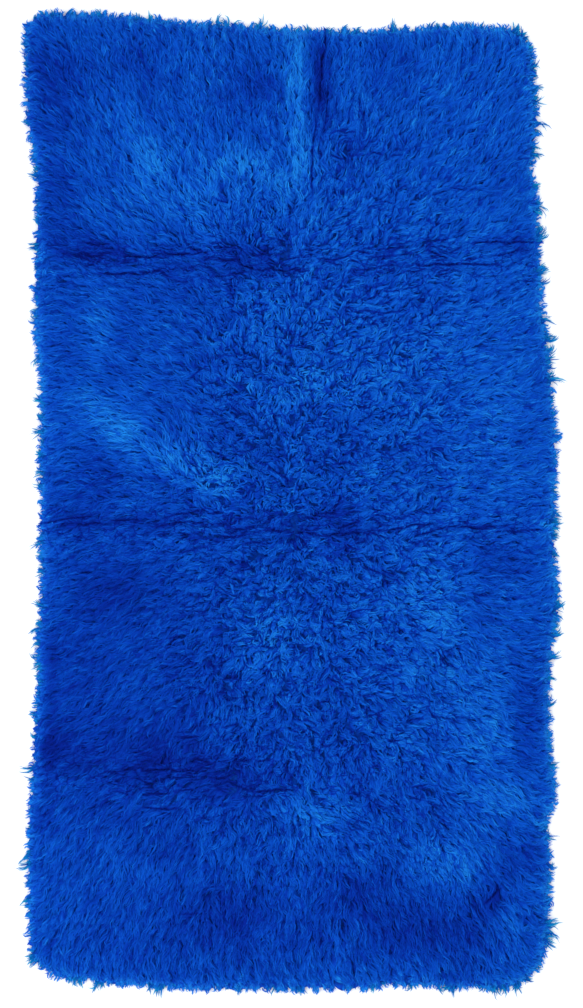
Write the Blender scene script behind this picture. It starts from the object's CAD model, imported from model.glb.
import math

import bmesh
import bpy
import numpy as np
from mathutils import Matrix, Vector
from mathutils.bvhtree import BVHTree
from mathutils.kdtree import KDTree


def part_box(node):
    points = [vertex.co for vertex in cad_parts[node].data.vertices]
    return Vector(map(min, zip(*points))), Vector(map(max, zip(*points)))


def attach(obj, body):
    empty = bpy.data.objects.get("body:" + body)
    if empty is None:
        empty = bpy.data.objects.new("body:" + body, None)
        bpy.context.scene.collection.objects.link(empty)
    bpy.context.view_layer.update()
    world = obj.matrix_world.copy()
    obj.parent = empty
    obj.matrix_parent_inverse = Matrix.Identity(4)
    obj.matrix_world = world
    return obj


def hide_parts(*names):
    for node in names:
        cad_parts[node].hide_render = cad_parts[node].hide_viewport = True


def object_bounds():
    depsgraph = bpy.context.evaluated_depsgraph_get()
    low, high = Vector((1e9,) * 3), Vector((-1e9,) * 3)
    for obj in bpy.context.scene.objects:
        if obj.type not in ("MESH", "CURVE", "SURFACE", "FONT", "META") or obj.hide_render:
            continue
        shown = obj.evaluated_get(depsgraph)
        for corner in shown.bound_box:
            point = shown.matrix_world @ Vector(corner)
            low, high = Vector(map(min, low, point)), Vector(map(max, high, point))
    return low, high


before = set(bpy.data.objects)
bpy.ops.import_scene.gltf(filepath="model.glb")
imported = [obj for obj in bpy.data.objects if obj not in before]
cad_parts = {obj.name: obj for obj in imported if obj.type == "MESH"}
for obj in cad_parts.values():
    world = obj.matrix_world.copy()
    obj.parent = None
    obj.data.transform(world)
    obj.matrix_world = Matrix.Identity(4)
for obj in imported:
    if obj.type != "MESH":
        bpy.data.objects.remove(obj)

# Moroccan wool rug: deep blue hand-knotted shag, lying flat and seen from straight above

mm = 0.001
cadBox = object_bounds()
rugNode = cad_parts["shag_rug"]
chance = np.random.default_rng(5)

# Rug as a whole, in metres
rug = {
    "bodyWidth": 1.000,
    "bodyLength": 1.874,
    "wallHeight": 9.5 * mm,
    "rasterCell": 5 * mm,
    "rimCell": 4 * mm,
}

# Frame of the photo in pixels, and its scale on the floor
photo = {
    "width": 583,
    "height": 1008,
    "rugCentre": (291.6, 502.0),
    "metresPerPixel": 1.94 * mm,
}


def linearColour(hexCode):
    # sRGB hex to the linear colour that Blender's sockets take
    channels = [int(hexCode[start:start + 2], 16) / 255 for start in (1, 3, 5)]
    return [c / 12.92 if c <= 0.04045 else ((c + 0.055) / 1.055) ** 2.4 for c in channels] + [1.0]


def addNode(tree, kind, settings=None, inputs=None):
    # One node with its settings, and its sockets set or linked
    node = tree.nodes.new("ShaderNode" + kind)
    for name, value in (settings or {}).items():
        setattr(node, name, value)
    for name, value in (inputs or {}).items():
        if isinstance(value, bpy.types.NodeSocket):
            tree.links.new(value, node.inputs[name])
        else:
            node.inputs[name].default_value = value
    return node


def addRamp(tree, factor, stops):
    # Colour ramp from (position, hex) stops
    node = addNode(tree, "ValToRGB", inputs={"Fac": factor})
    elements = node.color_ramp.elements
    for index, (position, colour) in enumerate(stops):
        element = elements[index] if index < 2 else elements.new(position)
        element.position = position
        element.color = linearColour(colour)
    return node


def addMath(tree, operation, first, second, kind="Math", output="Value"):
    return addNode(tree, kind, {"operation": operation}, {0: first, 1: second}).outputs[output]


def addVectorMath(tree, operation, first, second):
    return addMath(tree, operation, first, second, "VectorMath", "Vector")


def addNoise(tree, vector, cell, detail, output="Fac"):
    sockets = {"Vector": vector, "Scale": 1 / cell, "Detail": detail}
    return addNode(tree, "TexNoise", inputs=sockets).outputs[output]


def addFade(tree, value, start, end, atStart, atEnd):
    # Soft change from one number to another while the value goes from start to end
    limits = {"Value": value, "From Min": start, "From Max": end, "To Min": atStart, "To Max": atEnd}
    return addNode(tree, "MapRange", {"interpolation_type": "SMOOTHSTEP"}, limits).outputs["Result"]


def addMark(tree, name):
    # What the mesh carries at each vertex under this name
    return addNode(tree, "Attribute", {"attribute_name": name}).outputs["Fac"]


def newMaterial(name, sockets):
    # Material with one surface, and the sockets of it that stay plain values
    material = bpy.data.materials.new(name)
    material.use_nodes = True
    surface = material.node_tree.nodes["Principled BSDF"]
    for socket, value in sockets.items():
        surface.inputs[socket].default_value = value
    return material, material.node_tree


def dressSurface(tree, colour, height, strength, depth, invert=False):
    # Link the colour and a fine relief to the surface
    sockets = {"Height": height, "Strength": strength, "Distance": depth}
    relief = addNode(tree, "Bump", {"invert": invert}, sockets)
    surface = tree.nodes["Principled BSDF"]
    tree.links.new(colour, surface.inputs["Base Color"])
    tree.links.new(relief.outputs["Normal"], surface.inputs["Normal"])


def addPiece(name, data):
    # Object in the scene with this mesh, lamp or camera
    piece = bpy.data.objects.new(name, data)
    bpy.context.scene.collection.objects.link(piece)
    return piece


def smoothNoise(x, y, cell, seed):
    # Smooth random field from -1 to 1 with lumps about one cell wide, another for each seed
    side = 256  # cells before the field repeats
    shift = 1000.0  # keeps the cell numbers above zero
    table = np.random.default_rng(seed).uniform(-1.0, 1.0, (side, side))
    gx, gy = x / cell + shift, y / cell + shift
    ix, iy = np.floor(gx).astype(int), np.floor(gy).astype(int)
    fx, fy = gx - ix, gy - iy
    fx, fy = fx * fx * (3 - 2 * fx), fy * fy * (3 - 2 * fy)
    a, b = table[ix % side, iy % side], table[(ix + 1) % side, iy % side]
    c, d = table[ix % side, (iy + 1) % side], table[(ix + 1) % side, (iy + 1) % side]
    return (a + (b - a) * fx) * (1 - fy) + (c + (d - c) * fx) * fy


def vary(spread, size):
    # Chance differences to either side
    return chance.normal(0.0, spread, size)


def unit(vectors):
    return vectors / (np.linalg.norm(vectors, axis=2, keepdims=True) + 1e-9)


def softSpot(x, y, centreX, centreY, reachX, reachY, power):
    # 1 at the centre, close to 0 past its reach, with a steeper edge for a higher power
    return np.exp(-((x - centreX) / reachX) ** power - ((y - centreY) / reachY) ** power)


def floorGrid(cell, before=0, after=0):
    # Places over the rug one cell apart, with some cells to spare before and after it
    low, high = cadBox
    return np.meshgrid(np.arange(low.x - before * cell, high.x + after * cell, cell),
                       np.arange(low.y - before * cell, high.y + after * cell, cell), indexing="ij")


def rasterHeights(node, cell):
    # Heights of the solid's top, found from above, with four cells to spare around it
    mesh = node.data
    tree = BVHTree.FromPolygons([v.co for v in mesh.vertices], [p.vertices[:] for p in mesh.polygons])
    low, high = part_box(node.name)
    xs = np.arange(low.x - 4 * cell, high.x + 5 * cell, cell)
    ys = np.arange(low.y - 4 * cell, high.y + 5 * cell, cell)
    heights = np.zeros((len(xs), len(ys)))
    down = Vector((0.0, 0.0, -1.0))
    for i, x in enumerate(xs):
        for j, y in enumerate(ys):
            hit = tree.ray_cast(Vector((x, y, 1.0)), down)[0]
            heights[i, j] = hit.z if hit else 0.0
    return xs[0], ys[0], cell, heights


def readRaster(raster, x, y):
    # Value of a raster at each place, between its four nearest cells
    x0, y0, cell, heights = raster
    gx = np.clip((x - x0) / cell, 0, heights.shape[0] - 1.001)
    gy = np.clip((y - y0) / cell, 0, heights.shape[1] - 1.001)
    ix, iy = gx.astype(int), gy.astype(int)
    fx, fy = gx - ix, gy - iy
    near = heights[ix, iy] * (1 - fx) + heights[ix + 1, iy] * fx
    far = heights[ix, iy + 1] * (1 - fx) + heights[ix + 1, iy + 1] * fx
    return near * (1 - fy) + far * fy


def sliceOutline(node, height):
    # Ordered points where the solid is cut at a height, and the outward direction at each
    points, outwards = [], []
    for polygon in node.data.polygons:
        corners = [node.data.vertices[v].co for v in polygon.vertices]
        ends = []
        for a, b in zip(corners, corners[1:] + corners[:1]):
            if (a.z - height) * (b.z - height) < 0:
                ends.append(a.lerp(b, (height - a.z) / (b.z - a.z)))
        if len(ends) == 2:
            points.append((ends[0] + ends[1]) / 2)
            outwards.append(Vector((polygon.normal.x, polygon.normal.y)).normalized())
    order = np.argsort([math.atan2(p.y, p.x) for p in points])
    return np.array([points[i][:2] for i in order]), np.array([outwards[i][:] for i in order])


raster = rasterHeights(rugNode, rug["rasterCell"])
outline, outlineOut = sliceOutline(rugNode, rug["wallHeight"])
print("frame read: raster", raster[3].shape, "outline points", len(outline))

rimTree = KDTree(len(outline))
for number, point in enumerate(outline):
    rimTree.insert((point[0], point[1], 0.0), number)
rimTree.balance()


def nearestRim(x, y):
    # Distance to the outline, negative outside it, and the outward direction there
    distance, outward = np.zeros(len(x)), np.zeros((len(x), 2))
    for i in range(len(x)):
        place, number, away = rimTree.find((x[i], y[i], 0.0))
        inside = (place.x - x[i]) * outlineOut[number][0] + (place.y - y[i]) * outlineOut[number][1]
        distance[i] = away if inside > 0 else -away
        outward[i] = outlineOut[number]
    return distance, outward


def rimRasters(cell):
    # Distance to the outline and the outward direction, once for the whole floor plan
    gridX, gridY = floorGrid(cell, 2, 3)
    distance, outward = nearestRim(gridX.ravel(), gridY.ravel())
    layers = (distance, outward[:, 0], outward[:, 1])
    return [(gridX[0, 0], gridY[0, 0], cell, layer.reshape(gridX.shape)) for layer in layers]


rimField = rimRasters(rug["rimCell"])


def rimReach(x, y):
    # Distance to the outline at each place, and the outward direction as a unit vector
    distance, outX, outY = [readRaster(layer, x, y) for layer in rimField]
    length = np.maximum(np.hypot(outX, outY), 1e-6)
    return distance, np.stack((outX / length, outY / length), axis=-1)


# How the pile lies: brushed outwards from the middle, with places pressed another way
pileLie = {
    "endPull": 0.35,  # towards the near and far ends, everywhere
    "endPullOutside": 2.4,  # and more so close to them
    "strokeWeight": 1.6,
    "fullStrength": 0.8,
    "leastCalm": 0.15,
    "rimPull": 2.2,
    "rimPullReach": 20 * mm,
    "curlyMiddle": (0.05, -0.02, 0.27, 0.66),  # x, y, reach across, reach along
    "wildEdge": 0.22,
    "wildMiddle": 0.85,
    "wildStill": 1.2,
    "wildBrushed": 0.45,
    "rimCalming": 0.5,
    "silkCalming": 0.5,
    "curl": 1.1,
    "curlCell": 30 * mm,
    "wave": 0.8,
    "waveCell": 15 * mm,
    "sway": 0.45,
    "swayCell": 75 * mm,
    "strokes": [
        # x, y, heading in degrees, reach in metres, strength
        (-0.48, 0.76, 130, 0.07, 1.0),
        (-0.32, 0.84, 103, 0.09, 0.8),
        (-0.32, 0.68, 118, 0.08, 0.8),
        (0.07, 0.8, 74, 0.05, 0.9),
        (0.3, 0.78, 47, 0.11, 1.2),
        (0.46, 0.78, 46, 0.08, 1.2),
        (0.3, 0.61, 42, 0.08, 1.2),
        (0.4, 0.5, 14, 0.09, 1.0),
        (0.07, 0.53, 25, 0.06, 0.8),
        (-0.01, 0.66, 96, 0.09, 1.2),
        (-0.32, 0.52, 145, 0.08, 1.0),
        (-0.25, 0.44, 172, 0.06, 1.2),
        (-0.3, 0.32, 156, 0.09, 1.0),
        (-0.42, 0.14, 184, 0.07, 0.9),
        (-0.22, 0.12, 98, 0.06, 0.8),
        (0.18, -0.01, 14, 0.06, 0.9),
        (0.42, -0.02, 2, 0.11, 1.0),
        (-0.36, -0.08, 205, 0.08, 1.0),
        (-0.32, -0.3, 223, 0.1, 1.3),
        (-0.44, -0.49, 204, 0.05, 1.2),
        (-0.24, -0.46, 230, 0.09, 1.3),
        (0.3, -0.33, -28, 0.11, 1.0),
        (0.42, -0.46, -24, 0.09, 1.0),
        (0.1, -0.62, 8, 0.04, 1.0),
        (0.44, -0.68, -46, 0.08, 1.0),
        (-0.34, -0.7, 250, 0.08, 1.0),
        (-0.46, -0.84, 234, 0.07, 1.2),
    ],
}

# Short creases, side by side along the three folds, and a trough near the far edge
creases = {
    "halfWidth": 2.9 * mm,
    "pullHalfWidth": 10 * mm,
    "shade": 0.030,
    "cleftShade": 0.115,
    "cleftShadeReach": 1.3,
    "tipShare": 0.7,  # of the depth, by which the tips sink
    "align": 2.4,
    "calming": 0.75,
    "wander": 3 * mm,
    "wanderCell": 20 * mm,
    "rows": [
        # x, y, length in metres, turn in degrees, depth in millimetres
        (-0.374, 0.5, 0.035, 0, 7),
        (-0.384, 0.481, 0.062, 0, 8),
        (-0.285, 0.475, 0.06, -4, 7),
        (-0.305, 0.445, 0.12, 1, 7),
        (-0.24, 0.437, 0.03, -22, 6),
        (-0.215, 0.48, 0.075, 0, 8),
        (-0.145, 0.471, 0.04, -6, 8),
        (-0.112, 0.47, 0.022, 0, 7),
        (-0.07, 0.452, 0.05, -12, 8),
        (-0.008, 0.45, 0.055, 2, 8),
        (0.1, 0.475, 0.035, 14, 6),
        (0.134, 0.486, 0.028, 0, 7),
        (0.162, 0.455, 0.075, 10, 6),
        (0.178, 0.477, 0.045, 3, 5),
        (0.196, 0.493, 0.058, 5, 5),
        (0.28, 0.46, 0.066, 0, 8),
        (0.343, 0.471, 0.026, 12, 5),
        (0.414, 0.503, 0.11, 1, 8),
        (0.418, 0.483, 0.05, 12, 5),
        (-0.44, -0.033, 0.08, 8, 8),
        (-0.408, -0.044, 0.08, 3, 7),
        (-0.32, -0.034, 0.05, 0, 7),
        (-0.235, -0.044, 0.06, 6, 6),
        (-0.222, -0.026, 0.045, 12, 5),
        (-0.145, -0.043, 0.045, 0, 8),
        (-0.12, -0.067, 0.045, 0, 8),
        (-0.106, -0.053, 0.038, 0, 6),
        (-0.02, -0.056, 0.045, 0, 8),
        (0.02, -0.06, 0.055, 0, 8),
        (0.088, 0.0, 0.022, 50, 9),
        (0.112, -0.06, 0.07, 2, 8),
        (0.112, -0.042, 0.035, 18, 7),
        (0.228, -0.047, 0.085, 9, 7),
        (0.278, -0.055, 0.06, 20, 7),
        (0.345, -0.05, 0.07, -2, 7),
        (0.4, -0.046, 0.06, 3, 6),
        (0.455, -0.056, 0.055, 2, 6),
        (-0.377, -0.504, 0.032, 5, 6),
        (-0.322, -0.52, 0.022, 0, 8),
        (-0.262, -0.521, 0.08, 0, 9),
        (-0.2, -0.52, 0.045, 0, 7),
        (-0.2, -0.454, 0.036, 2, 6),
        (-0.174, -0.502, 0.035, -8, 7),
        (-0.14, -0.537, 0.028, -6, 8),
        (-0.1, -0.552, 0.04, -20, 6),
        (-0.026, -0.56, 0.055, 0, 7),
        (-0.333, -0.563, 0.03, -4, 5),
        (-0.262, -0.566, 0.04, 0, 7),
        (-0.254, -0.593, 0.06, 0, 6),
        (0.344, 0.462, 0.085, -3, 7),
        (0.281, 0.504, 0.037, 15, 6),
        (0.158, 0.369, 0.1, 0, 4),
        (-0.052, 0.478, 0.046, 0, 6),
        (-0.13, 0.493, 0.037, 0, 6),
        (0.06, 0.85, 0.13, 84, 9),
        (0.068, 0.765, 0.07, 84, 8),
        (0.042, 0.672, 0.13, 88, 6),
        (0.388, -0.762, 0.035, 40, 9),
    ],
}

# Small clefts between matted clumps: many in the curly middle, the most beside the folds
clefts = {
    "seed": 61,
    "rasterCell": 1.5 * mm,
    "halfWidth": 2.2 * mm,
    "pullHalfWidth": 5 * mm,
    "shortest": 12 * mm,
    "longest": 34 * mm,
    "shallowest": 1.5,
    "deepest": 5.0,
    "turnSpread": 22,
    "acrossSteadier": 0.6,
    "acrossDeeper": 0.5,
    "softEdge": 0.14,
    "swarms": [
        # x, y, reach across, reach along, how many, share that runs across the rug
        (0.06, -0.02, 0.25, 0.6, 520, 0.25),
        (-0.11, 0.462, 0.17, 0.035, 60, 0.9),
        (0.2, 0.47, 0.13, 0.03, 30, 0.9),
        (-0.02, -0.052, 0.2, 0.035, 65, 0.9),
        (-0.21, -0.53, 0.15, 0.04, 55, 0.9),
        (0.12, 0.64, 0.08, 0.12, 35, 0.6),
        (-0.38, 0.48, 0.08, 0.02, 20, 0.9),
        (0.26, 0.0, 0.18, 0.8, 90, 0.2),
    ],
}

# Lighter and darker areas, where the nap turns and the wool took the dye unevenly
tonePatches = [
    # x, y, reach across, reach along, change in tone
    (0.008, 0.84, 0.025, 0.09, 0.18),
    (0.014, 0.685, 0.022, 0.09, 0.18),
    (-0.03, 0.617, 0.035, 0.035, 0.14),
    (-0.107, 0.656, 0.06, 0.035, 0.15),
    (-0.275, 0.656, 0.035, 0.06, 0.16),
    (-0.31, 0.724, 0.05, 0.05, 0.05),
    (-0.378, 0.336, 0.03, 0.06, 0.15),
    (-0.398, 0.2, 0.045, 0.03, 0.15),
    (-0.326, 0.132, 0.045, 0.035, 0.26),
    (-0.242, 0.093, 0.05, 0.03, 0.16),
    (-0.145, 0.04, 0.042, 0.038, 0.24),
    (0.29, -0.208, 0.05, 0.11, 0.1),
    (0.365, -0.43, 0.06, 0.13, 0.1),
    (0.407, -0.576, 0.06, 0.04, 0.14),
    (0.31, -0.696, 0.07, 0.05, 0.12),
    (0.039, -0.619, 0.045, 0.04, 0.16),
    (0.417, 0.219, 0.06, 0.15, 0.05),
    (0.19, 0.265, 0.06, 0.06, 0.09),
    (-0.05, -0.246, 0.05, 0.1, 0.13),
    (-0.456, 0.811, 0.05, 0.09, -0.16),
    (-0.456, 0.588, 0.05, 0.09, -0.1),
    (-0.072, 0.811, 0.05, 0.05, -0.14),
    (-0.31, 0.86, 0.05, 0.05, -0.09),
    (0.056, 0.836, 0.021, 0.08, -0.3),
    (0.12, 0.685, 0.025, 0.03, -0.1),
    (0.194, 0.86, 0.05, 0.05, -0.08),
    (-0.37, 0.488, 0.06, 0.028, -0.15),
    (-0.242, 0.462, 0.08, 0.022, -0.07),
    (-0.093, 0.471, 0.07, 0.03, -0.13),
    (0.446, 0.506, 0.035, 0.028, -0.12),
    (-0.378, 0.054, 0.07, 0.05, -0.1),
    (-0.417, -0.037, 0.06, 0.022, -0.14),
    (-0.281, -0.037, 0.07, 0.02, -0.1),
    (-0.06, -0.052, 0.09, 0.03, -0.06),
    (0.1, -0.05, 0.045, 0.06, -0.22),
    (-0.33, -0.169, 0.09, 0.07, -0.13),
    (0.392, -0.11, 0.06, 0.045, -0.13),
    (-0.4, -0.33, 0.1, 0.19, -0.1),
    (-0.22, -0.38, 0.08, 0.12, -0.07),
    (-0.446, -0.479, 0.06, 0.04, -0.2),
    (-0.27, -0.5, 0.1, 0.06, -0.2),
    (-0.12, -0.538, 0.08, 0.045, -0.14),
    (-0.35, -0.605, 0.12, 0.04, -0.08),
    (-0.136, -0.809, 0.08, 0.07, -0.14),
    (0.126, -0.76, 0.07, 0.05, -0.14),
    (0.24, -0.84, 0.08, 0.06, -0.15),
    (0.33, -0.85, 0.05, 0.04, -0.12),
    (0.45, -0.695, 0.05, 0.03, -0.14),
    (0.395, -0.765, 0.045, 0.04, -0.16),
    (0.46, -0.42, 0.03, 0.12, -0.12),
    (-0.464, -0.31, 0.012, 0.06, -0.1),
    (-0.466, -0.44, 0.013, 0.07, -0.13),
    (-0.47, -0.56, 0.012, 0.07, -0.12),
    (0.0, -0.83, 0.3, 0.1, -0.06),
    (-0.24, -0.68, 0.08, 0.06, -0.08),
    (0.03, 0.32, 0.12, 0.16, 0.08),
    (0.3, 0.25, 0.08, 0.14, 0.07),
    (0.37, -0.21, 0.05, 0.06, -0.08),
    (-0.21, 0.55, 0.12, 0.06, 0.06),
    (-0.2, 0.62, 0.16, 0.08, 0.04),
    (0.355, -0.795, 0.035, 0.035, -0.14),
    (0.425, -0.81, 0.025, 0.06, 0.1),
    (-0.36, 0.165, 0.05, 0.04, 0.1),
    (-0.2, 0.07, 0.06, 0.035, 0.1),
    (0.06, -0.2, 0.24, 0.28, 0.03),
    (0.48, 0.02, 0.06, 0.6, -0.03),
    (-0.39, 0.28, 0.07, 0.08, -0.04),
    (-0.066, 0.27, 0.08, 0.12, 0.03),
    (-0.066, -0.27, 0.08, 0.12, 0.03),
    (0.26, -0.27, 0.08, 0.12, 0.02),
    (-0.08, 0.8, 0.08, 0.08, 0.02),
    (0.1, 0.56, 0.08, 0.08, 0.03),
    (0.22, -0.2, 0.08, 0.12, 0.03),
    (0.055, 0.237, 0.06, 0.03, 0.06),
    (-0.026, 0.38, 0.06, 0.05, 0.03),
]

# Places where the pile lies smooth and close
silkyPlaces = [
    # x, y, reach across, reach along, how smooth
    (-0.23, 0.66, 0.16, 0.1, 0.8),
    (-0.32, 0.27, 0.14, 0.17, 0.8),
    (0.01, 0.76, 0.04, 0.17, 0.8),
    (-0.26, -0.72, 0.16, 0.06, 0.4),
]

# How the tone changes with the nap, the rim and chance
nap = {
    "level": 1.025,
    "patchStrength": 1.7,
    "shade": 0.06,
    "brightHeading": 20,
    "rimGlow": 0.40,
    "rimGlowReach": 7 * mm,
    "mottle": 0.06,
    "mottleCell": 45 * mm,
    "clumpMottle": 0.04,
    "clumpCell": 22 * mm,
}


def strokeBlend(x, y):
    # Direction in which the pile lies at each place, from the general lie and the strokes
    across = x / (rug["bodyWidth"] / 2)
    along = y / (rug["bodyLength"] / 2)
    lieX = across
    lieY = pileLie["endPull"] * along + pileLie["endPullOutside"] * along ** 3
    for strokeX, strokeY, heading, reach, strength in pileLie["strokes"]:
        away = (x - strokeX) ** 2 + (y - strokeY) ** 2
        weight = pileLie["strokeWeight"] * strength * np.exp(-away / reach ** 2)
        lieX = lieX + weight * math.cos(math.radians(heading))
        lieY = lieY + weight * math.sin(math.radians(heading))
    return lieX, lieY


def nearbyCells(place, margin, start, cell):
    return slice(max(int((place - margin - start) / cell), 0), int((place + margin - start) / cell))


def creaseRasters(kinds):
    # Depth of the creases in metres, their pull on the lie, and depth and side of the nearest one
    cell = clefts["rasterCell"]
    gridX, gridY = floorGrid(cell)
    startX, startY = gridX[0, 0], gridY[0, 0]
    depth, pullX, pullY, best, nearestAside = [np.zeros(gridX.shape) for _ in range(5)]
    swayed = creases["wander"] * smoothNoise(gridX, gridY, creases["wanderCell"], 31)
    for rows, halfWidth, pullHalfWidth in kinds:
        for creaseX, creaseY, length, turn, deep in rows:
            margin = length + 3 * pullHalfWidth
            near = (nearbyCells(creaseX, margin, startX, cell), nearbyCells(creaseY, margin, startY, cell))
            cos, sin = math.cos(math.radians(turn)), math.sin(math.radians(turn))
            along = (gridX[near] - creaseX) * cos + (gridY[near] - creaseY) * sin
            aside = (gridY[near] - creaseY) * cos - (gridX[near] - creaseX) * sin + swayed[near]
            # Full for a third of the length to each side of the middle, then it dies away
            past = np.maximum(np.abs(along) - length / 3, 0.0)
            within = np.exp(-(past / (length / 4)) ** 2)
            depth[near] = np.maximum(depth[near], deep * mm * within * np.exp(-(aside / halfWidth) ** 2))
            pull = within * np.exp(-(aside / pullHalfWidth) ** 2)
            pullX[near] += pull * cos
            pullY[near] += pull * sin
            score = deep * within * np.exp(-(aside / (3 * halfWidth)) ** 2)
            nearest = score > best[near]
            nearestAside[near] = np.where(nearest, aside / halfWidth, nearestAside[near])
            best[near] = np.where(nearest, score, best[near])
    return [(startX, startY, cell, layer) for layer in (depth, pullX, pullY, best, nearestAside)]


def creaseDepth(x, y):
    # Depth of the creases at each place in metres, and their pull on the lie across and along
    return [readRaster(layer, x, y) for layer in creaseField[:3]]


def patchTone(x, y):
    # Tone of the wool at each place, about 1
    tone = np.full(x.shape, nap["level"])
    for patchX, patchY, reachX, reachY, change in tonePatches:
        tone += nap["patchStrength"] * change * softSpot(x, y, patchX, patchY, reachX, reachY, 2)
    tone += nap["mottle"] * smoothNoise(x, y, nap["mottleCell"], 41)
    tone += nap["clumpMottle"] * smoothNoise(x, y, nap["clumpCell"], 42)
    return tone - creases["shade"] * creaseDepth(x, y)[0] / mm


def silkiness(x, y):
    # From 0 to 1, the smoothest
    smooth = np.zeros(x.shape)
    for placeX, placeY, reachX, reachY, share in silkyPlaces:
        smooth = np.maximum(smooth, share * softSpot(x, y, placeX, placeY, reachX, reachY, 4))
    return smooth


def pileSurface(x, y):
    # Height of the tips: the solid's height with the creases drawn in finer
    return readRaster(raster, x, y) - creases["tipShare"] * creaseDepth(x, y)[0]


def lieOfPile(x, y):
    # Heading of the pile, how wild it is, and the distance to the rim
    distance, outward = rimReach(x, y)
    lieX, lieY = strokeBlend(x, y)
    strength = np.maximum(np.hypot(lieX, lieY), 1e-6)
    calm = np.clip(strength / pileLie["fullStrength"], pileLie["leastCalm"], 1.0)
    middle = softSpot(x, y, *pileLie["curlyMiddle"], 4)
    sway = pileLie["sway"] * middle
    lieX = lieX / strength + sway * smoothNoise(x, y, pileLie["swayCell"], 24)
    lieY = lieY / strength + sway * smoothNoise(x, y, pileLie["swayCell"], 25)
    # Tufts turn along a crease, whichever of its two ways is nearer, and outwards at the rim
    pullX, pullY = creaseDepth(x, y)[1:]
    along = np.sign(pullX * lieX + pullY * lieY) * creases["align"]
    rimward = pileLie["rimPull"] * np.exp(-np.clip(distance, 0, None) / pileLie["rimPullReach"])
    heading = np.arctan2(lieY + along * pullY + rimward * outward[..., 1],
                         lieX + along * pullX + rimward * outward[..., 0])
    wild = pileLie["wildEdge"] + pileLie["wildMiddle"] * middle
    wild = wild * (pileLie["wildStill"] - pileLie["wildBrushed"] * calm)
    wild = wild / (1 + pileLie["rimCalming"] * rimward)
    wild = wild * (1 - pileLie["silkCalming"] * silkiness(x, y))
    wild = wild * (1 - creases["calming"] * np.minimum(np.hypot(pullX, pullY), 1.0))
    curl = pileLie["curl"] * smoothNoise(x, y, pileLie["curlCell"], 21)
    curl = curl + pileLie["wave"] * smoothNoise(x, y, pileLie["waveCell"], 22)
    return heading + wild * curl, wild, distance


def chanceClefts():
    # Rows of small clefts, most of them along the lie of the pile, the others across the rug
    own = np.random.default_rng(clefts["seed"])
    rows = []
    for swarmX, swarmY, reachX, reachY, number, across in clefts["swarms"]:
        x = swarmX + reachX * (own.uniform(-1, 1, number) + own.normal(0, clefts["softEdge"], number))
        y = swarmY + reachY * (own.uniform(-1, 1, number) + own.normal(0, clefts["softEdge"], number))
        turn = np.degrees(lieOfPile(x, y)[0]) * (own.random(number) > across)
        turnSpread = clefts["turnSpread"] * (1 - clefts["acrossSteadier"] * across)
        turn = turn + own.normal(0, turnSpread, number)
        length = own.uniform(clefts["shortest"], clefts["longest"], number)
        deep = own.uniform(clefts["shallowest"], clefts["deepest"], number)
        rows.extend(zip(x, y, length, turn, deep * (1 + clefts["acrossDeeper"] * across)))
    return rows


# The folds come first, because the clefts follow the lie that the folds have turned
folds = (creases["rows"], creases["halfWidth"], creases["pullHalfWidth"])
creaseField = creaseRasters([folds])
creaseField = creaseRasters([folds, (chanceClefts(), clefts["halfWidth"], clefts["pullHalfWidth"])])
print("creases:", len(creases["rows"]), "and", sum(swarm[4] for swarm in clefts["swarms"]), "small clefts")


# Fine ridges and partings that combing leaves: chance specks, smeared along the lie of the pile
combing = {
    "cell": 2 * mm,
    "lieCell": 4 * mm,
    "reach": 14 * mm,
    "steps": 6,
    "deepestParting": 2.5,  # in spreads of the smeared specks
    "highestRidge": 1.6,
    "levelling": 0.05,
    "lift": 0.9 * mm,
    "shade": 0.065,
}


def combedStreaks():
    # Raster with round ridges above zero and narrower partings below it
    cell, lieCell = combing["cell"], combing["lieCell"]
    gridX, gridY = floorGrid(cell)
    startX, startY = gridX[0, 0], gridY[0, 0]
    x, y = gridX.ravel(), gridY.ravel()
    specks = (startX, startY, cell, vary(1.0, gridX.shape))
    coarseX, coarseY = floorGrid(lieCell)
    heading = lieOfPile(coarseX.ravel(), coarseY.ravel())[0].reshape(coarseX.shape)
    lieX = (startX, startY, lieCell, np.cos(heading))
    lieY = (startX, startY, lieCell, np.sin(heading))
    smeared = readRaster(specks, x, y)
    stride = combing["reach"] / combing["steps"]
    for way in (stride, -stride):
        atX, atY = x, y
        for _ in range(combing["steps"]):
            stepX, stepY = readRaster(lieX, atX, atY), readRaster(lieY, atX, atY)
            atX, atY = atX + way * stepX, atY + way * stepY
            smeared += readRaster(specks, atX, atY)
    smeared = (smeared / smeared.std()).reshape(gridX.shape)
    ridges = np.clip(smeared, -combing["deepestParting"], combing["highestRidge"]) - combing["levelling"]
    return startX, startY, cell, ridges


streakRaster = combedStreaks()
print("combed streaks:", streakRaster[3].shape)


# Wool, dyed in the yarn and brushed: fine fibres along each lock, little shine, darker and deeper
# towards the root. Loose ends at the rim let light through, so they are paler and greener.
wool = {
    "dye": [(0.0, "#00095A"), (1.0, "#1880DA"), (0.35, "#00208A"), (0.55, "#0038A8"), (0.75, "#0553C2")],
    "looseDye": [(0.0, "#001E74"), (1.0, "#1CACD0"), (0.45, "#0048A8"), (0.62, "#087ABA")],
    "fibreLength": 16 * mm,
    "streakRange": (0.3, 0.7),  # of the noise
    "relief": 0.35,
    "reliefDepth": 0.5 * mm,
    "surface": {"Roughness": 0.7, "IOR": 1.55, "Specular IOR Level": 0.03, "Sheen Weight": 0.03,
                "Sheen Tint": linearColour("#1A70FF")},
}


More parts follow.
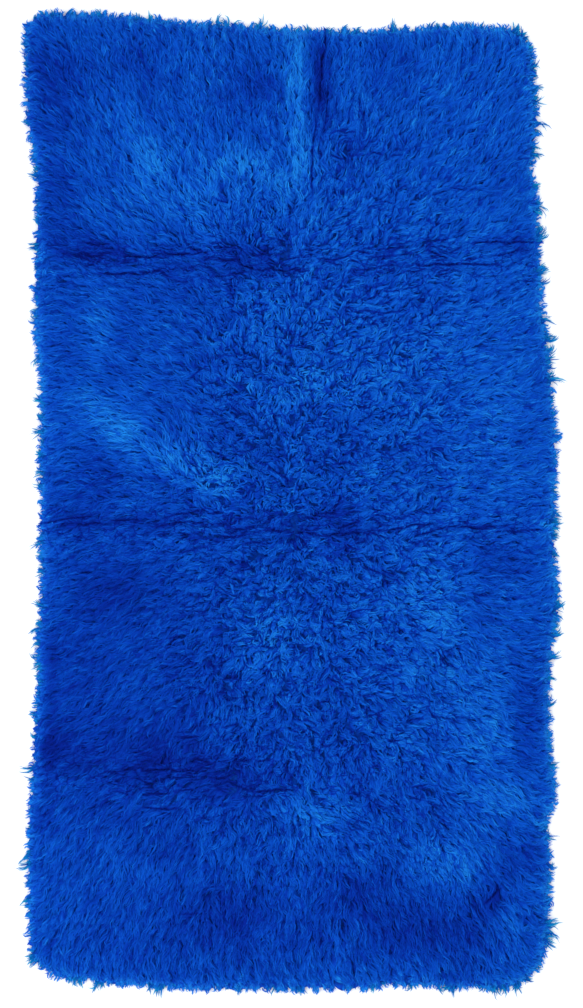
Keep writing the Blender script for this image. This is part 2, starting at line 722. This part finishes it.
# Matted clumps: shaded clefts run between them, strongest in the curly middle and along the folds
matting = {
    "clumpWidth": 19 * mm,
    "wobbleCell": 11 * mm,
    "wobble": 9 * mm,
    "cleftShare": 0.13,
    "strength": 0.42,
    "breakCell": 26 * mm,
    "breakRange": (0.35, 0.6),  # of the noise
    "everywhere": 0.25,
    "middle": (0.05, -0.02, 0.29, 0.70),  # x, y, reach across, reach along
    "foldReach": 45 * mm,
    "foldEndReach": 50 * mm,
    "folds": [
        # y, left end, right end
        (0.465, -0.45, 0.42),
        (-0.05, -0.45, 0.42),
        (-0.53, -0.45, 0.05),
    ],
}


def mattedness(x, y):
    # From 0, brushed smooth, to 1, matted
    byFold = np.zeros(x.shape)
    for foldY, leftEnd, rightEnd in matting["folds"]:
        past = np.maximum(np.maximum(leftEnd - x, x - rightEnd), 0.0)
        away = ((y - foldY) / matting["foldReach"]) ** 2 + (past / matting["foldEndReach"]) ** 2
        byFold = np.maximum(byFold, np.exp(-away))
    most = np.maximum(softSpot(x, y, *matting["middle"], 4), byFold)
    return np.clip(most + matting["everywhere"], 0.0, 1.0) * (1 - silkiness(x, y))


def clumpShade(tree):
    # Factor on the shade, below 1 in the clefts between clumps of uneven form
    place = addNode(tree, "TexCoord").outputs["Object"]
    drift = addNoise(tree, place, matting["wobbleCell"], 1.0, "Color")
    centred = addVectorMath(tree, "SUBTRACT", drift, (0.5, 0.5, 0.5))
    offset = addVectorMath(tree, "MULTIPLY", centred, [2 * matting["wobble"]] * 3)
    cells = addNode(tree, "TexVoronoi", {"voronoi_dimensions": "2D", "feature": "DISTANCE_TO_EDGE"},
                    {"Vector": addVectorMath(tree, "ADD", place, offset), "Scale": 1 / matting["clumpWidth"]})
    cleft = addFade(tree, cells.outputs["Distance"], 0.0, matting["cleftShare"], matting["strength"], 0.0)
    broken = addFade(tree, addNoise(tree, place, matting["breakCell"], 0.0), *matting["breakRange"], 0.0, 1.0)
    share = addMath(tree, "MULTIPLY", broken, addMark(tree, "matted"))
    return addMath(tree, "SUBTRACT", 1.0, addMath(tree, "MULTIPLY", cleft, share))


def creaseShade(tree):
    # Factor on the shade, below 1 along the creases: from the distance to the nearest one
    distance = addNode(tree, "Math", {"operation": "ABSOLUTE"}, {0: addMark(tree, "creaseAside")})
    profile = addFade(tree, distance.outputs["Value"], 0.0, creases["cleftShadeReach"],
                      creases["cleftShade"], 0.0)
    drop = addMath(tree, "MULTIPLY", profile, addMark(tree, "creaseDepth"))
    return addMath(tree, "SUBTRACT", 1.0, drop)


def woolPile(name, fibreWidth, streak, dye):
    # Brushed wool: the dye by depth, streaked and raised along the fibres
    material, tree = newMaterial(name, wool["surface"])
    fibre = addNode(tree, "Attribute", {"attribute_name": "fibre"}).outputs["Vector"]
    stretched = addVectorMath(tree, "MULTIPLY", fibre, (1 / fibreWidth, 1 / wool["fibreLength"], 1.0))
    streaks = addNoise(tree, stretched, 1.0, 1.0)
    low, high = wool["streakRange"]
    change = addNode(tree, "MapRange", inputs={"Value": streaks, "From Min": low, "From Max": high,
                                               "To Min": 1 - streak, "To Max": 1 + streak}).outputs["Result"]
    clumped = addMath(tree, "MULTIPLY", addMark(tree, "shade"), clumpShade(tree))
    creased = addMath(tree, "MULTIPLY", clumped, creaseShade(tree))
    colour = addRamp(tree, addMath(tree, "MULTIPLY", creased, change), dye).outputs["Color"]
    dressSurface(tree, colour, streaks, wool["relief"], wool["reliefDepth"])
    return material


# Form of one strand: a folded blade, which has a cell of its own on the bake map
strand = {
    "ridgeHeight": 0.25,  # of half the width
    "fold": 0.5,
    "fibreLots": 500,  # places in the fibre pattern
    "cellMargin": 0.15,
    "cellShare": 0.7,
}


def strandMesh(name, material, paths, widths, tilt, rails, marks):
    # One joined mesh of strands: each is a blade of two or three rails that ends in a point
    count, stations = paths.shape[:2]
    travel = unit(np.gradient(paths, axis=1))
    up = np.zeros_like(travel)
    up[:, :, 2] = 1.0
    side = unit(np.cross(travel, up))
    up = np.cross(side, travel)
    lean = tilt[:, None, None]
    side, up = side * np.cos(lean) + up * np.sin(lean), up * np.cos(lean) - side * np.sin(lean)
    spread = np.linspace(-1.0, 1.0, rails)
    crown = strand["ridgeHeight"] - strand["fold"] * np.abs(spread)
    half = widths[:, :-1, None, None] / 2
    railAside = side[:, :-1, None] * spread[:, None] + up[:, :-1, None] * crown[:, None]
    railPoints = paths[:, :-1, None] + half * railAside
    points = np.concatenate((railPoints.reshape(count, -1, 3), paths[:, -1:, :]), axis=1)
    perStrand = points.shape[1]
    tip = perStrand - 1

    faces = []
    for first in range(0, rails * (stations - 2), rails):
        for corner in range(first, first + rails - 1):
            faces.append((corner, corner + 1, corner + 1 + rails, corner + rails))
    for corner in range(tip - rails, tip - 1):
        faces.append((corner, corner + 1, tip))
    corners = np.array([corner for face in faces for corner in face])
    totals = np.tile([len(face) for face in faces], count)
    loops = ((np.arange(count) * perStrand)[:, None] + corners[None, :]).ravel()

    mesh = bpy.data.meshes.new(name)
    mesh.vertices.add(count * perStrand)
    mesh.vertices.foreach_set("co", points.ravel())
    mesh.loops.add(len(loops))
    mesh.loops.foreach_set("vertex_index", loops)
    mesh.polygons.add(len(totals))
    mesh.polygons.foreach_set("loop_start", np.concatenate(([0], np.cumsum(totals)[:-1])))
    mesh.update(calc_edges=True)

    # Place on the strand across and along in metres, and a lot of its own, for the fibre pattern
    steps = np.linalg.norm(np.diff(paths, axis=1), axis=2)
    walked = np.concatenate((np.zeros((count, 1)), np.cumsum(steps, axis=1)), axis=1)
    fibre = np.zeros((count, perStrand, 3))
    fibre[:, :tip, 0] = (half[:, :, :, 0] * spread).reshape(count, -1)
    fibre[:, :tip, 1] = np.repeat(walked[:, :-1], rails, axis=1)
    fibre[:, tip, 1] = walked[:, -1]
    fibre[:, :, 2] = chance.uniform(0, strand["fibreLots"], count)[:, None]
    mesh.attributes.new("fibre", "FLOAT_VECTOR", "POINT").data.foreach_set("vector", fibre.ravel())
    for mark, values in marks.items():
        onPoints = np.concatenate((np.repeat(values[:, :-1], rails, axis=1), values[:, -1:]), axis=1)
        mesh.attributes.new(mark, "FLOAT", "POINT").data.foreach_set("value", onPoints.ravel())

    # A small cell of the bake map for each strand
    cells = math.ceil(math.sqrt(count))
    cell = np.stack((np.arange(count) % cells, np.arange(count) // cells), axis=1) / cells
    across = np.append(np.tile(spread / 2 + 0.5, stations - 1), 0.5)
    along = np.append(np.repeat(np.linspace(0.0, 1.0, stations)[:-1], rails), 1.0)
    inCell = strand["cellMargin"] + strand["cellShare"] * np.stack((across, along), axis=1)
    spots = (cell[:, None, :] + inCell[None, :, :] / cells).reshape(-1, 2)
    mesh.uv_layers.new(name="OFBake").data.foreach_set("uv", spots[loops].ravel())
    mesh.shade_smooth()
    mesh.materials.append(material)
    print(name, "strands", count, "triangles", int((totals - 2).sum()))
    return addPiece(name, mesh)


# Combed top of the pile: locks of fine strands, each lock wavy and crowned
combedTop = {
    "tuftPitch": 12.2 * mm,
    "strands": 7,
    "rails": 2,
    "reach": 32 * mm,
    "reachSpread": 0.3,
    "lockHalfWidth": 5.5 * mm,
    "stagger": 8 * mm,
    "gather": 0.45,
    "frizz": 1.2 * mm,
    "crown": 1.2 * mm,
    "liftSpread": 0.8 * mm,
    "width": 2.9 * mm,
    "along": [0.0, 0.25, 0.50, 0.75, 1.0],
    "rise": [0.66, 0.90, 1.0, 1.0, 0.95],
    "taper": [0.9, 1.0, 1.0, 0.8, 0.0],
    "depth": [0.47, 0.58, 0.645, 0.67, 0.67],
    "shadeSpread": 0.035,
    "strayShare": 0.05,
    "strayLift": 1.0 * mm,
    "strayTone": 0.14,
    "strayWidth": 0.7,
    "lean": 0.40,
    "rimGap": 0.0,
    "bands": 5,
    "fibreWidth": 1.0 * mm,
    "streak": 0.10,
}

# Undercoat: broader locks just below the combed ones, which close the gaps between them
undercoat = {
    "tuftPitch": 11.0 * mm,
    "strands": 1,
    "rails": 3,
    "reach": 30 * mm,
    "reachSpread": 0.3,
    "lockHalfWidth": 0.0,
    "stagger": 0.0,
    "gather": 0.0,
    "frizz": 1.0 * mm,
    "crown": 0.0,
    "liftSpread": 1.2 * mm,
    "width": 12 * mm,
    "along": [0.0, 0.35, 0.70, 1.0],
    "rise": [0.62, 0.84, 0.90, 0.88],
    "taper": [0.9, 1.0, 0.8, 0.0],
    "depth": [0.44, 0.51, 0.56, 0.59],
    "shadeSpread": 0.06,
    "strayShare": 0.0,
    "strayLift": 0.0,
    "strayTone": 0.0,
    "strayWidth": 1.0,
    "lean": 0.35,
    "rimGap": 16 * mm,
    "bands": 1,
    "fibreWidth": 3.0 * mm,
    "streak": 0.25,
}


# What both layers share: how locks differ by chance and with the wildness of the pile
locks = {
    "placeSpread": 0.42,  # of the pitch
    "ownTurn": 0.16,
    "stillLength": 1.12,
    "wildShortening": 0.42,
    "pastRim": 6 * mm,
    "pastRimSpread": 5 * mm,
    "bend": 0.5,
    "stillBend": 0.4,
    "wildBend": 1.4,
    "bendCentre": 0.4,  # of the length
    "stillCrimp": 0.35,
    "wildCrimp": 0.2,
    "crimpWaves": 1.3,
    "gatherPower": 1.3,
    "billow": 1.5 * mm,
    "billowCell": 22 * mm,
    "strandLift": 0.4 * mm,
    "stillUneven": 0.65,
    "wildUneven": 0.4,
    "silkEven": 0.55,
    "base": 3 * mm,
    "leastSurface": 5 * mm,
    "leastHeight": 1.2 * mm,
    "toneSpread": 0.04,
    "toneRange": (0.3, 1.6),
    "widthRange": (0.7, 1.3),
}


def tuftPlaces(pitch):
    # Tufts in staggered rows, each a little off its place
    low, high = cadBox
    rows = np.arange(low.y, high.y, pitch * math.sqrt(3) / 2)
    columns = np.arange(low.x, high.x, pitch)
    x, y = np.meshgrid(columns, rows)
    x = x + pitch / 2 * (np.arange(len(rows)) % 2)[:, None]
    spread = locks["placeSpread"]
    x = x.ravel() + chance.uniform(-spread, spread, x.size) * pitch
    y = y.ravel() + chance.uniform(-spread, spread, y.size) * pitch
    keep = readRaster(raster, x, y) > rug["wallHeight"]
    return x[keep], y[keep]


def lockLines(x, y, reach, bend, crimp, along, lie):
    # Centre line of each lock on the floor plan: it follows the lie, with its own bend and crimp
    share = np.array(along)
    places = np.zeros((len(x), len(share), 2))
    places[:, 0, 0], places[:, 0, 1] = x, y
    phase = chance.uniform(0, 2 * math.pi, len(x))
    for k in range(len(share) - 1):
        middle = (share[k] + share[k + 1]) / 2
        turn = lie(places[:, k, 0], places[:, k, 1]) + bend * (middle - locks["bendCentre"])
        turn = turn + crimp * np.sin(phase + 2 * math.pi * locks["crimpWaves"] * middle)
        step = reach * (share[k + 1] - share[k])
        places[:, k + 1, 0] = places[:, k, 0] + step * np.cos(turn)
        places[:, k + 1, 1] = places[:, k, 1] + step * np.sin(turn)
    return places


def strandsOfLocks(centre, layer):
    # Strands side by side in each lock, drawn together towards its tip
    count, each = len(centre), layer["strands"]
    share = np.array(layer["along"])
    travel = unit(np.gradient(centre, axis=1))
    aside = np.stack((-travel[:, :, 1], travel[:, :, 0]), axis=2)[:, None]
    slot = chance.uniform(-1, 1, (count, each, 1, 1))
    gathered = 1 - layer["gather"] * share ** locks["gatherPower"]
    narrowed = layer["lockHalfWidth"] * gathered[None, None, :, None]
    splay = layer["frizz"] * vary(1.0, (count, each, 1, 1)) * (share ** 2)[None, None, :, None]
    shift = layer["stagger"] * chance.uniform(-1, 1, (count, each, 1, 1))
    places = centre[:, None] + aside * (slot * narrowed + splay) + travel[:, None] * shift
    return places.reshape(count * each, len(share), 2), slot.ravel()


def combedLayer(name, material, layer):
    # One layer of the pile over the whole rug, in bands from the near end to the far one
    x, y = tuftPlaces(layer["tuftPitch"])
    inside = rimReach(x, y)[0] > layer["rimGap"]
    x, y = x[inside], y[inside]
    count, each = len(x), layer["strands"]
    wild, distance = lieOfPile(x, y)[1:]
    uneven = (locks["stillUneven"] + locks["wildUneven"] * wild) * (1 - locks["silkEven"] * silkiness(x, y))
    own = vary(locks["ownTurn"], count) * (1 + wild)
    reach = layer["reach"] * (1 + layer["reachSpread"] * chance.uniform(-1, 1, count))
    reach = reach * (locks["stillLength"] - locks["wildShortening"] * wild)
    longest = np.maximum(distance, 0.0) + chance.uniform(0.0, locks["pastRimSpread"], count)
    reach = np.minimum(reach, longest + locks["pastRim"])
    bend = vary(locks["bend"], count) * (locks["stillBend"] + locks["wildBend"] * wild)
    crimp = locks["stillCrimp"] + locks["wildCrimp"] * wild
    centre = lockLines(x, y, reach, bend, crimp, layer["along"], lambda px, py: lieOfPile(px, py)[0] + own)
    places, slot = strandsOfLocks(centre, layer)
    px, py = places[:, :, 0], places[:, :, 1]

    # Heights: the locks billow, are crowned, follow the combed ridges, and a few strands stray
    billow = locks["billow"] * wild * smoothNoise(x, y, locks["billowCell"], 23)
    lift = np.repeat(layer["liftSpread"] * vary(1.0, count) + billow, each)
    lift = lift + layer["crown"] * (1 - slot ** 2) + vary(locks["strandLift"], count * each)
    stray = chance.random(count * each) < layer["strayShare"]
    lift = lift * np.repeat(uneven, each) + layer["strayLift"] * stray
    ridge = readRaster(streakRaster, px, py)
    lift = lift[:, None] + combing["lift"] * ridge
    top = np.maximum(pileSurface(px, py), locks["leastSurface"])
    height = locks["base"] + (top - locks["base"] + lift) * np.array(layer["rise"])
    paths = np.concatenate((places, np.maximum(height, locks["leastHeight"])[:, :, None]), axis=2)

    # Shades: by place, nap, ridge and chance, paler at the rim, and deeper towards the root
    heading = np.arctan2(centre[:, -1, 1] - centre[:, 0, 1], centre[:, -1, 0] - centre[:, 0, 0])
    napTone = nap["shade"] * np.cos(heading - math.radians(nap["brightHeading"]))
    jitter = np.repeat(napTone + vary(locks["toneSpread"], count), each)
    jitter = jitter + vary(layer["shadeSpread"], count * each) * np.repeat(uneven, each)
    jitter = jitter + layer["strayTone"] * stray
    tone = patchTone(px, py) + jitter[:, None] + combing["shade"] * ridge
    toRim = np.maximum(rimReach(px, py)[0], 0.0)
    tone = tone + nap["rimGlow"] * np.exp(-toRim / nap["rimGlowReach"])
    shades = np.clip(tone, *locks["toneRange"]) * np.array(layer["depth"])

    widths = layer["width"] * chance.uniform(*locks["widthRange"], count * each)
    widths = widths * np.where(stray, layer["strayWidth"], 1.0)
    widths = widths[:, None] * np.array(layer["taper"])
    tilt = vary(layer["lean"], count * each)
    marks = {"shade": shades, "matted": mattedness(px, py), "creaseDepth": readRaster(creaseField[3], px, py),
             "creaseAside": readRaster(creaseField[4], px, py)}
    pieces = []
    for band, chosen in enumerate(np.array_split(np.argsort(paths[:, 0, 1]), layer["bands"])):
        pieces.append(strandMesh(f"{name}{band + 1}", material, paths[chosen], widths[chosen], tilt[chosen],
                                 layer["rails"], {mark: values[chosen] for mark, values in marks.items()}))
    return pieces


# Locks at the rim: the outermost tufts end in small groups of thin hooked wisps over the floor
rim = {
    "groupPitch": 13 * mm,
    "groupHalfWidth": 8 * mm,
    "strands": 8,
    "rails": 2,
    "shortest": 8 * mm,
    "longest": 42 * mm,
    "longRarity": 2.4,
    "sideShortening": 0.35,
    "lengthRange": (0.55, 1.1),
    "insetRange": (1 * mm, 8 * mm),
    "lieShare": 0.9,
    "lean": 0.35,
    "wispLean": 0.15,
    "hook": 1.7,
    "hookRange": (0.5, 1.3),
    "crimp": 0.12,
    "gather": 0.45,
    "width": 3.2 * mm,
    "widthRange": (0.5, 1.3),
    "tilt": 0.3,
    "rootHeights": (2 * mm, 11 * mm),
    "leastHeight": 1.2 * mm,
    "toneSpread": 0.12,
    "toneRange": (0.6, 1.6),
    "fibreWidth": 1.0 * mm,
    "streak": 0.15,
    "along": [0.0, 0.25, 0.50, 0.75, 1.0],
    "fall": [1.0, 0.9, 0.65, 0.35, 0.15],
    "taper": [1.0, 1.0, 0.85, 0.6, 0.0],
    "depth": [0.42, 0.46, 0.56, 0.66, 0.70],
}


def makeRim():
    # Wisps in groups, each group rooted around one place on the outline
    following = np.roll(outline, -1, axis=0)
    lengths = np.linalg.norm(following - outline, axis=1)
    walked = np.concatenate(([0.0], np.cumsum(lengths)))
    groups = int(walked[-1] / rim["groupPitch"])
    each = rim["strands"]
    count = groups * each
    centre = chance.uniform(0.0, walked[-1], groups)
    slot = chance.uniform(-1, 1, (groups, each))
    walk = (centre[:, None] + slot * rim["groupHalfWidth"]).ravel() % walked[-1]
    number = np.minimum(np.searchsorted(walked, walk, side="right") - 1, len(outline) - 1)
    share = ((walk - walked[number]) / np.maximum(lengths[number], 1e-9))[:, None]
    outward = outlineOut[number]
    root = outline[number] * (1 - share) + following[number] * share

    # A group leans and hooks as one, shorter at its sides, and its wisps close up towards the tips
    reach = rim["shortest"] + (rim["longest"] - rim["shortest"]) * chance.random(groups) ** rim["longRarity"]
    reach = reach[:, None] * (1.0 - rim["sideShortening"] * np.abs(slot))
    reach = (reach * chance.uniform(*rim["lengthRange"], (groups, each))).ravel()
    inset = chance.uniform(*rim["insetRange"], count)
    root = root - outward * inset[:, None]
    lieX, lieY = strokeBlend(root[:, 0], root[:, 1])
    strength = np.maximum(np.hypot(lieX, lieY), 1e-6)
    heading = np.arctan2(outward[:, 1] + rim["lieShare"] * lieY / strength,
                         outward[:, 0] + rim["lieShare"] * lieX / strength)
    lean = np.repeat(vary(rim["lean"], groups), each)
    lean = lean + vary(rim["wispLean"], count)
    hook = np.repeat(vary(rim["hook"], groups), each) * chance.uniform(*rim["hookRange"], count)
    heading = heading + lean - rim["gather"] * slot.ravel()
    places = lockLines(root[:, 0], root[:, 1], reach + inset, hook, np.full(count, rim["crimp"]),
                       rim["along"], lambda px, py: heading)

    start = chance.uniform(*rim["rootHeights"], count)[:, None]
    height = start * np.array(rim["fall"]) + rim["leastHeight"]
    paths = np.concatenate((places, height[:, :, None]), axis=2)
    widths = rim["width"] * chance.uniform(*rim["widthRange"], count)[:, None] * np.array(rim["taper"])
    tone = np.clip(1.0 + vary(rim["toneSpread"], count), *rim["toneRange"])
    shades = tone[:, None] * np.array(rim["depth"])
    material = woolPile("looseBlueWool", rim["fibreWidth"], rim["streak"], wool["looseDye"])
    tilt = vary(rim["tilt"], count)
    return strandMesh("rimLocks", material, paths, widths, tilt, rim["rails"], {"shade": shades})


# Bed of the pile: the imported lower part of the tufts, seen dark between the strands
bed = {
    "weld": 0.01 * mm,
    "footHeight": 2 * mm,
    "footShare": 0.5,
    "heightShare": 0.74,
    "relief": 2.2 * mm,
    "reliefCell": 14 * mm,
    "creaseShare": 0.5,
    "lockShare": 0.5,
    "looseReach": 10 * mm,
    "tuftWidth": 6 * mm,
    "fibreWidth": 2.5 * mm,
    "fibreRelief": 1.5 * mm,
}


def packedWool():
    # Packed tuft roots in shade: deep navy with small lighter tufts, paler where they are loose at the rim
    material, tree = newMaterial("packedBlueWool", {"Roughness": 0.9, "Specular IOR Level": 0.05})
    place = addNode(tree, "TexCoord").outputs["Object"]
    tufts = addNode(tree, "TexVoronoi", inputs={"Vector": place, "Scale": 1 / bed["tuftWidth"]})
    packed = addRamp(tree, tufts.outputs["Distance"], [(0.0, "#0139A2"), (1.0, "#00206E")]).outputs["Color"]
    # Sockets 6 and 7 are the two colours of the Mix node, and its output 2 is what they give
    mixed = addNode(tree, "Mix", {"data_type": "RGBA"},
                    {"Factor": addMark(tree, "loose"), 6: packed, 7: linearColour("#0646BC")})
    fibres = addNoise(tree, place, bed["fibreWidth"], 3.0)
    dressSurface(tree, mixed.outputs[2], fibres, 0.6, bed["fibreRelief"])
    return material


def makeBed():
    # The solid made finer, lower than the strands, and drawn in under its loose rim
    mesh = rugNode.data.copy()
    mesh.name = "pileBed"
    shape = bmesh.new()
    shape.from_mesh(mesh)
    bmesh.ops.remove_doubles(shape, verts=shape.verts[:], dist=bed["weld"])
    inner = [e for e in shape.edges if min(v.co.z for v in e.verts) > bed["footHeight"]]
    bmesh.ops.subdivide_edges(shape, edges=inner, cuts=1, use_grid_fill=True)
    x = np.array([v.co.x for v in shape.verts])
    y = np.array([v.co.y for v in shape.verts])
    lump = bed["relief"] * smoothNoise(x, y, bed["reliefCell"], 51)
    drop = bed["creaseShare"] * creaseDepth(x, y)[0]
    distance, outward = rimReach(x, y)
    drawnIn = np.minimum(distance, 0.0)[:, None] * outward * (1 - bed["lockShare"])
    for vertex, up, down, inward in zip(shape.verts, lump, drop, drawnIn):
        vertex.co.x += inward[0]
        vertex.co.y += inward[1]
        if vertex.co.z > bed["footHeight"]:
            vertex.co.z = vertex.co.z * bed["heightShare"] + up - down
        else:
            vertex.co.z = vertex.co.z * bed["footShare"] + bed["footHeight"]
    shape.to_mesh(mesh)
    shape.free()
    loose = np.clip(1 - distance / bed["looseReach"], 0, 1)
    mesh.attributes.new("loose", "FLOAT", "POINT").data.foreach_set("value", loose)
    mesh.shade_smooth()
    mesh.materials.clear()
    mesh.materials.append(packedWool())
    print("bed triangles:", sum(len(p.vertices) - 2 for p in mesh.polygons))
    return addPiece("pileBed", mesh)


# Ground: the ivory woven base, which shows as slivers past the pile and on the underside
ground = {
    "thickness": 3 * mm,
    "inset": 8 * mm,
    "knotPitch": 11.6 * mm,
    "weftWidth": 1.3 * mm,
    "threadPitch": 2.5 * mm,
    "waveLength": 0.31,  # of the wave pattern at a scale of 1
    "slivers": [
        # x, y, reach along the rim, how far past the pile
        (0.171, 0.915, 0.01, 0.018),
        (0.212, 0.915, 0.009, 0.016),
        (0.485, 0.868, 0.008, 0.019),
    ],
}


def plainIvory():
    # Undyed wool weft: off-white with the fine ribs of a plain weave
    material, tree = newMaterial("wovenIvoryWool", {"Roughness": 0.9})
    place = addNode(tree, "TexCoord").outputs["Object"]
    ribs = addNode(tree, "TexWave", {"bands_direction": "Y"},
                   {"Vector": place, "Scale": ground["waveLength"] / ground["threadPitch"],
                    "Distortion": 1.5, "Detail": 1.0}).outputs["Fac"]
    colour = addRamp(tree, ribs, [(0.0, "#B9B2A2"), (1.0, "#E4DFD2")]).outputs["Color"]
    dressSurface(tree, colour, ribs, 0.5, 0.6 * mm)
    return material


def knottedBack():
    # Back of the weave, knotted by hand: rows of small blue knots between thin ivory wefts
    material, tree = newMaterial("knottedWoolBack", {"Roughness": 0.9})
    place = addNode(tree, "TexCoord").outputs["Object"]
    knots = addNode(tree, "TexBrick", {"offset": 0.5}, {
        "Vector": place, "Scale": 1.0, "Brick Width": ground["knotPitch"],
        "Row Height": ground["knotPitch"] / 2, "Mortar Size": ground["weftWidth"], "Mortar Smooth": 0.4,
        "Color1": linearColour("#0A3FA8"), "Color2": linearColour("#0B4BC0"),
        "Mortar": linearColour("#CFC8B8")}).outputs
    dressSurface(tree, knots["Color"], knots["Fac"], 0.5, 1.0 * mm, True)
    return material


def makeGround():
    # Flat sheet a little inside the outline, with plain ivory above and the knotted back below
    past = np.full(len(outline), -ground["inset"])
    for sliverX, sliverY, reach, out in ground["slivers"]:
        away = (outline[:, 0] - sliverX) ** 2 + (outline[:, 1] - sliverY) ** 2
        past += out * np.exp(-away / reach ** 2)
    edge = outline + outlineOut * past[:, None]
    shape = bmesh.new()
    face = shape.faces.new([shape.verts.new((x, y, 0.0)) for x, y in edge])
    lifted = bmesh.ops.extrude_face_region(shape, geom=[face])
    for element in lifted["geom"]:
        if isinstance(element, bmesh.types.BMVert):
            element.co.z = ground["thickness"]
    bmesh.ops.recalc_face_normals(shape, faces=shape.faces[:])
    for face in shape.faces:
        face.material_index = 1 if face.normal.z < -0.5 else 0
    mesh = bpy.data.meshes.new("groundWeave")
    shape.to_mesh(mesh)
    shape.free()
    mesh.materials.append(plainIvory())
    mesh.materials.append(knottedBack())
    return addPiece("groundWeave", mesh), edge


bedPiece = makeBed()
groundPiece, groundEdge = makeGround()
combedWool = woolPile("combedBlueWool", combedTop["fibreWidth"], combedTop["streak"], wool["dye"])
pilePieces = combedLayer("pileBand", combedWool, combedTop)
undercoatWool = woolPile("undercoatBlueWool", undercoat["fibreWidth"], undercoat["streak"], wool["dye"])
pilePieces += combedLayer("undercoat", undercoatWool, undercoat)
rimPiece = makeRim()
print("pieces made")

for piece in [bedPiece, groundPiece, rimPiece] + pilePieces:
    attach(piece, "root")
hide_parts("shag_rug")

# Studio: white floor, broad soft light, camera straight above
studio = {
    "floorSize": 40.0,
    "floorDrop": 0.3 * mm,
    "floorColour": "#FFFFFF",
    "skyColour": "#F2F5FA",
    "skyStrength": 1.12,
    "lens": 85.0,
    "focusHeight": 0.02,  # where the scale of the photo holds
    "lights": [
        # place, size, power
        ((-2.6, -1.6, 3.2), 2.4, 60.0),
        ((2.4, 2.0, 3.4), 3.0, 20.0),
    ],
}

bpy.ops.mesh.primitive_plane_add(size=studio["floorSize"], location=(0, 0, -studio["floorDrop"]))
floor = bpy.context.object
floor.name = "studioFloor"
floorColour = linearColour(studio["floorColour"])
paint = newMaterial("palePaintedFloor", {"Base Color": floorColour, "Roughness": 0.8})[0]
floor.data.materials.append(paint)

world = bpy.data.worlds.new("softSky")
world.use_nodes = True
sky = world.node_tree.nodes["Background"]
sky.inputs["Color"].default_value = linearColour(studio["skyColour"])
sky.inputs["Strength"].default_value = studio["skyStrength"]
bpy.context.scene.world = world

for number, (place, size, power) in enumerate(studio["lights"]):
    lamp = bpy.data.lights.new(f"softbox{number + 1}", "AREA")
    lamp.size = size
    lamp.energy = power
    light = addPiece(f"softbox{number + 1}", lamp)
    light.location = place
    light.rotation_euler = (-Vector(place)).to_track_quat("-Z", "Y").to_euler()

cameraData = bpy.data.cameras.new("topCamera")
cameraData.lens = studio["lens"]
camera = addPiece("topCamera", cameraData)
viewHeight = photo["height"] * photo["metresPerPixel"]
away = viewHeight / 2 / (cameraData.sensor_width / 2 / cameraData.lens)
aimX = (photo["width"] / 2 - photo["rugCentre"][0]) * photo["metresPerPixel"]
aimY = (photo["rugCentre"][1] - photo["height"] / 2) * photo["metresPerPixel"]
camera.location = (aimX, aimY, away + studio["focusHeight"])
bpy.context.scene.camera = camera
bpy.context.scene.view_settings.view_transform = "Standard"
print("studio set")
